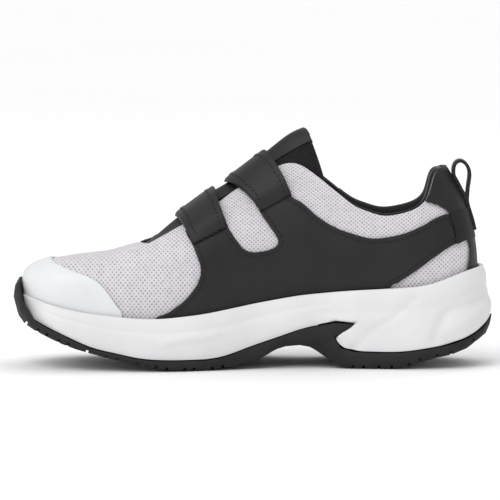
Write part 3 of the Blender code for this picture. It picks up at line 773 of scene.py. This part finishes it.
def face_strip(tongue, material):
    """The smooth strip down the middle of the tongue, on the padded mesh."""
    only(tongue)
    bpy.ops.object.duplicate()
    strip = bpy.context.object
    strip.name = "tongue_face_strip"
    strip.data.name = strip.name
    bpy.ops.object.mode_set(mode="EDIT")
    bpy.ops.mesh.select_mode(type="FACE")
    bpy.ops.mesh.select_all(action="DESELECT")
    work = bmesh.from_edit_mesh(strip.data)
    for face in work.faces:
        face.select_set(face.normal.z < 0.2)
    bmesh.update_edit_mesh(strip.data)
    bpy.ops.mesh.delete(type="FACE")
    for side in (-1.0, 1.0):
        bpy.ops.mesh.select_all(action="SELECT")
        bpy.ops.mesh.bisect(plane_co=(0.0, SHOE_MIDDLE + side * TONGUE_STRIP_HALF, 0.0),
                            plane_no=(0.0, side, 0.0), clear_outer=True)
    bpy.ops.object.mode_set(mode="OBJECT")
    apply(strip, "SOLIDIFY", thickness=STRIP_THICKNESS, offset=1.0)
    soften(strip, 0.3 * MM)
    shade(strip, 50)
    return finish_piece(strip, material, "tongue")


def main():
    charcoal = smooth_synthetic("charcoal_synthetic", "141415", "1b1b1c", 0.52)
    band = smooth_synthetic("dark_heel_synthetic", "0c0c0d", "111112", 0.60)
    white = smooth_synthetic("white_synthetic", "d8dadc", "e0e2e4", 0.38, depth=0.03)
    # Each knit's first colour is the painted shade in its pinholes, its last colour a painted highlight on
    # the yarn's crowns.
    knit = knit_mesh("grey_knit", "8a878e", "cfccd1", "dfdce0", 2.5 * MM, 3.0 * MM, 0.19, 0.88, 0.2)
    black_mesh = knit_mesh("black_mesh", "040404", "121112", "282528", 1.6 * MM, 2.2 * MM, 0.22, 0.92, 0.1)
    lining = brushed_cloth("collar_knit", "0c0c0c", "161516")
    foam = moulded_foam("white_foam", "d8d8d9", "e0e0e1", 0.5)
    rubber = moulded_rubber("tread_rubber", "161617", "202021")
    # The webbing's darker colour is painted shade in its rib troughs, its lighter one a painted highlight on
    # the crests.
    webbing = ribbed_webbing("loop_webbing", "101011", "1c1c1d")
    cloth = brushed_cloth("footbed_cloth", "1b1b1d", "2c2c2f")
    thread = bonded_thread("black_thread", "040404", "080808")
    # Painted shade for the seams: a dark ribbon under the stitches stands for the shade in their pressed
    # channel.
    shadow = brushed_cloth("seam_painted_shade", "0c0c0d", "121213")

    upper = copy_of("upper", "knit_upper")
    crease_sharp(upper, 60, 1.0)
    subdivide(upper)
    knit_map(upper)
    shade(upper, 50)
    finish_piece(upper, knit, "upper", "upper")

    skin = outer_skin()
    line_inside(upper, surface(skin), lining)
    apply(skin, "DISPLACE", strength=OVERLAY_GAP, mid_level=0.0)
    wide = HALF_WIDTH
    overlay(skin, "toe_cap_skin", TOE_CAP_OUTLINE, -wide, wide, white, "toe_cap",
            stands_for="toe_cap")
    inner = overlay(skin, "saddle_inner", SADDLE_OUTLINE, -wide, 0.0, charcoal, "saddle_medial",
                    stands_for="saddle_medial")
    outer = overlay(skin, "saddle_outer", SADDLE_OUTLINE, 0.0, wide, charcoal, "saddle_lateral",
                    stands_for="saddle_lateral")
    heel = overlay(skin, "heel_panel", COUNTER_OUTLINE, -wide, wide, charcoal, "heel_counter",
                   stands_for="heel_counter")
    heel_band = overlay(skin, "heel_band", BAND_OUTLINE, -wide, wide, band, "heel_counter",
                        lift=BAND_LIFT, thickness=BAND_THICKNESS)
    remove(skin)

    made = {}
    for name, new_name, material, sharp in (
            ("midsole", "foam_midsole", foam, 45), ("insole", "footbed", cloth, 50),
            ("collar_lining", "padded_collar", lining, 75), ("tongue", "padded_tongue", black_mesh, 75),
            ("strap_front", "front_strap", charcoal, 60), ("strap_rear", "rear_strap", charcoal, 60)):
        obj = copy_of(name, new_name)
        crease_sharp(obj, sharp, 0.9)
        subdivide(obj)
        if material is black_mesh:
            knit_map(obj)
        made[name] = finish_piece(obj, material, name, name)
        shade(obj, 50)
    for line, half_width, depth in FOAM_LINES:
        press(made["midsole"], line, half_width * MM, depth * MM)
    face_strip(made["tongue"], charcoal)

    loop = copy_of("pull_loop", "webbing_loop")
    for vert in loop.data.vertices:
        vert.co.x -= LOOP_CLOSER
    crease_sharp(loop, 60, 0.85)
    subdivide(loop)
    shade(loop, 50)
    finish_piece(loop, webbing, "pull_loop", "pull_loop")
    tread = copy_of("outsole", "tread_outsole")
    round_bumper(tread)
    soften(tread, 0.25 * MM, 40)
    shade(tread, 35)
    finish_piece(tread, rubber, "outsole", "outsole")
    for side in (MEDIAL, LATERAL):
        finish_piece(edge_rib(tread, side), rubber, "outsole")

    for name, ends in STRAP_ENDS.items():
        settle_end(made[name], ends, surface(inner))
    foam_side = surface(made["midsole"])
    straps = [surface(made[name]) for name in STRAP_ENDS]
    heel_side = surface(heel)
    band_side = surface(heel_band)
    for name, side, panel in (("saddle_medial", MEDIAL, inner), ("saddle_lateral", LATERAL, outer)):
        line = along_outline(SADDLE_OUTLINE, SEAM_INSET)
        over = [foam_side, heel_side, band_side] + straps
        runs = side_places(line, side, surface(panel), over)
        band_line = rounded_open([point_at(*place) for place in BAND_SEAM])
        runs += side_places(band_line, side, surface(panel), over)
        sew(name + "_seam", runs, name, thread, shadow)
    for name, ends in STRAP_ENDS.items():
        line = end_line(ends, 0.004, 0.012)
        sew(name + "_seam", side_places(line, MEDIAL, surface(made[name])), name, thread, shadow)
    for name in STRAP_ENDS:
        sew(name + "_border", strap_border(made[name]), name, thread, shadow)
    for name, ends in STRAP_FREE_ENDS.items():
        line = end_line(ends, 0.010, 0.030)
        sew(name + "_tip_seam", side_places(line, LATERAL, surface(made[name])), name, thread, shadow)
    studio()


# Studio

def studio():
    paper, tree, shader = new_material("pale_floor", "f7f7f8", 0.9, Specular_IOR_Level=0.2)
    grain = node(tree, "ShaderNodeTexNoise", {"Scale": 2.0, "Detail": 1.0}, {"Vector": object_place(tree)})
    tree.links.new(ramp(tree, grain.outputs["Fac"], [(0.3, "fdfdfd"), (0.7, "fefefe")]),
                   shader.inputs["Base Color"])
    deselect()
    bpy.ops.mesh.primitive_circle_add(vertices=64, radius=FLOOR_RADIUS, fill_type="NGON")
    floor = bpy.context.object
    floor.name = "studio_floor"
    floor.data.materials.append(paper)

    for name, kind, place, strength in (
            ("key_sun", "SUN", (-0.65, -1.0, 1.2), SUN_STRENGTH),
            ("top_light", "AREA", (0.3, 0.9, 1.3), TOP_POWER)):
        lamp = bpy.data.lights.new(name, kind)
        lamp.energy = strength
        if kind == "SUN":
            lamp.angle = math.radians(SUN_ANGLE)
        else:
            lamp.size = TOP_SIZE
        made = linked(name, lamp)
        made.location = place
        made.rotation_euler = (Vector((0.0, 0.0, 0.05)) - Vector(place)).to_track_quat("-Z", "Y").to_euler()
    room = bpy.data.worlds.new("soft_room")
    room.use_nodes = True
    tree = room.node_tree
    seen = node(tree, "ShaderNodeLightPath")
    bright = node(tree, "ShaderNodeMapRange", {"To Min": ROOM_LIGHT, "To Max": 1.0},
                  {"Value": seen.outputs["Is Camera Ray"]})
    back = tree.nodes["Background"]
    back.inputs["Color"].default_value = linear("ffffff")
    tree.links.new(bright.outputs["Result"], back.inputs["Strength"])
    bpy.context.scene.world = room
    bpy.context.scene.view_settings.view_transform = "Standard"

    lens = bpy.data.cameras.new("side_camera")
    distance, elevation = CAMERA_DISTANCE, math.radians(CAMERA_ELEVATION)
    frame_width = LENGTH / SHOE_SHARE
    lens.sensor_width = SENSOR_WIDTH
    lens.lens = lens.sensor_width * distance / frame_width
    lens.clip_start = 0.05
    camera = linked("side_camera", lens)
    target = Vector((-1.4 * MM, 0.0, 65.0 * MM))
    camera.location = target + distance * Vector((0.0, -math.cos(elevation), math.sin(elevation)))
    camera.rotation_euler = (math.radians(90.0) - elevation, 0.0, 0.0)
    bpy.context.scene.camera = camera


main()
deselect()
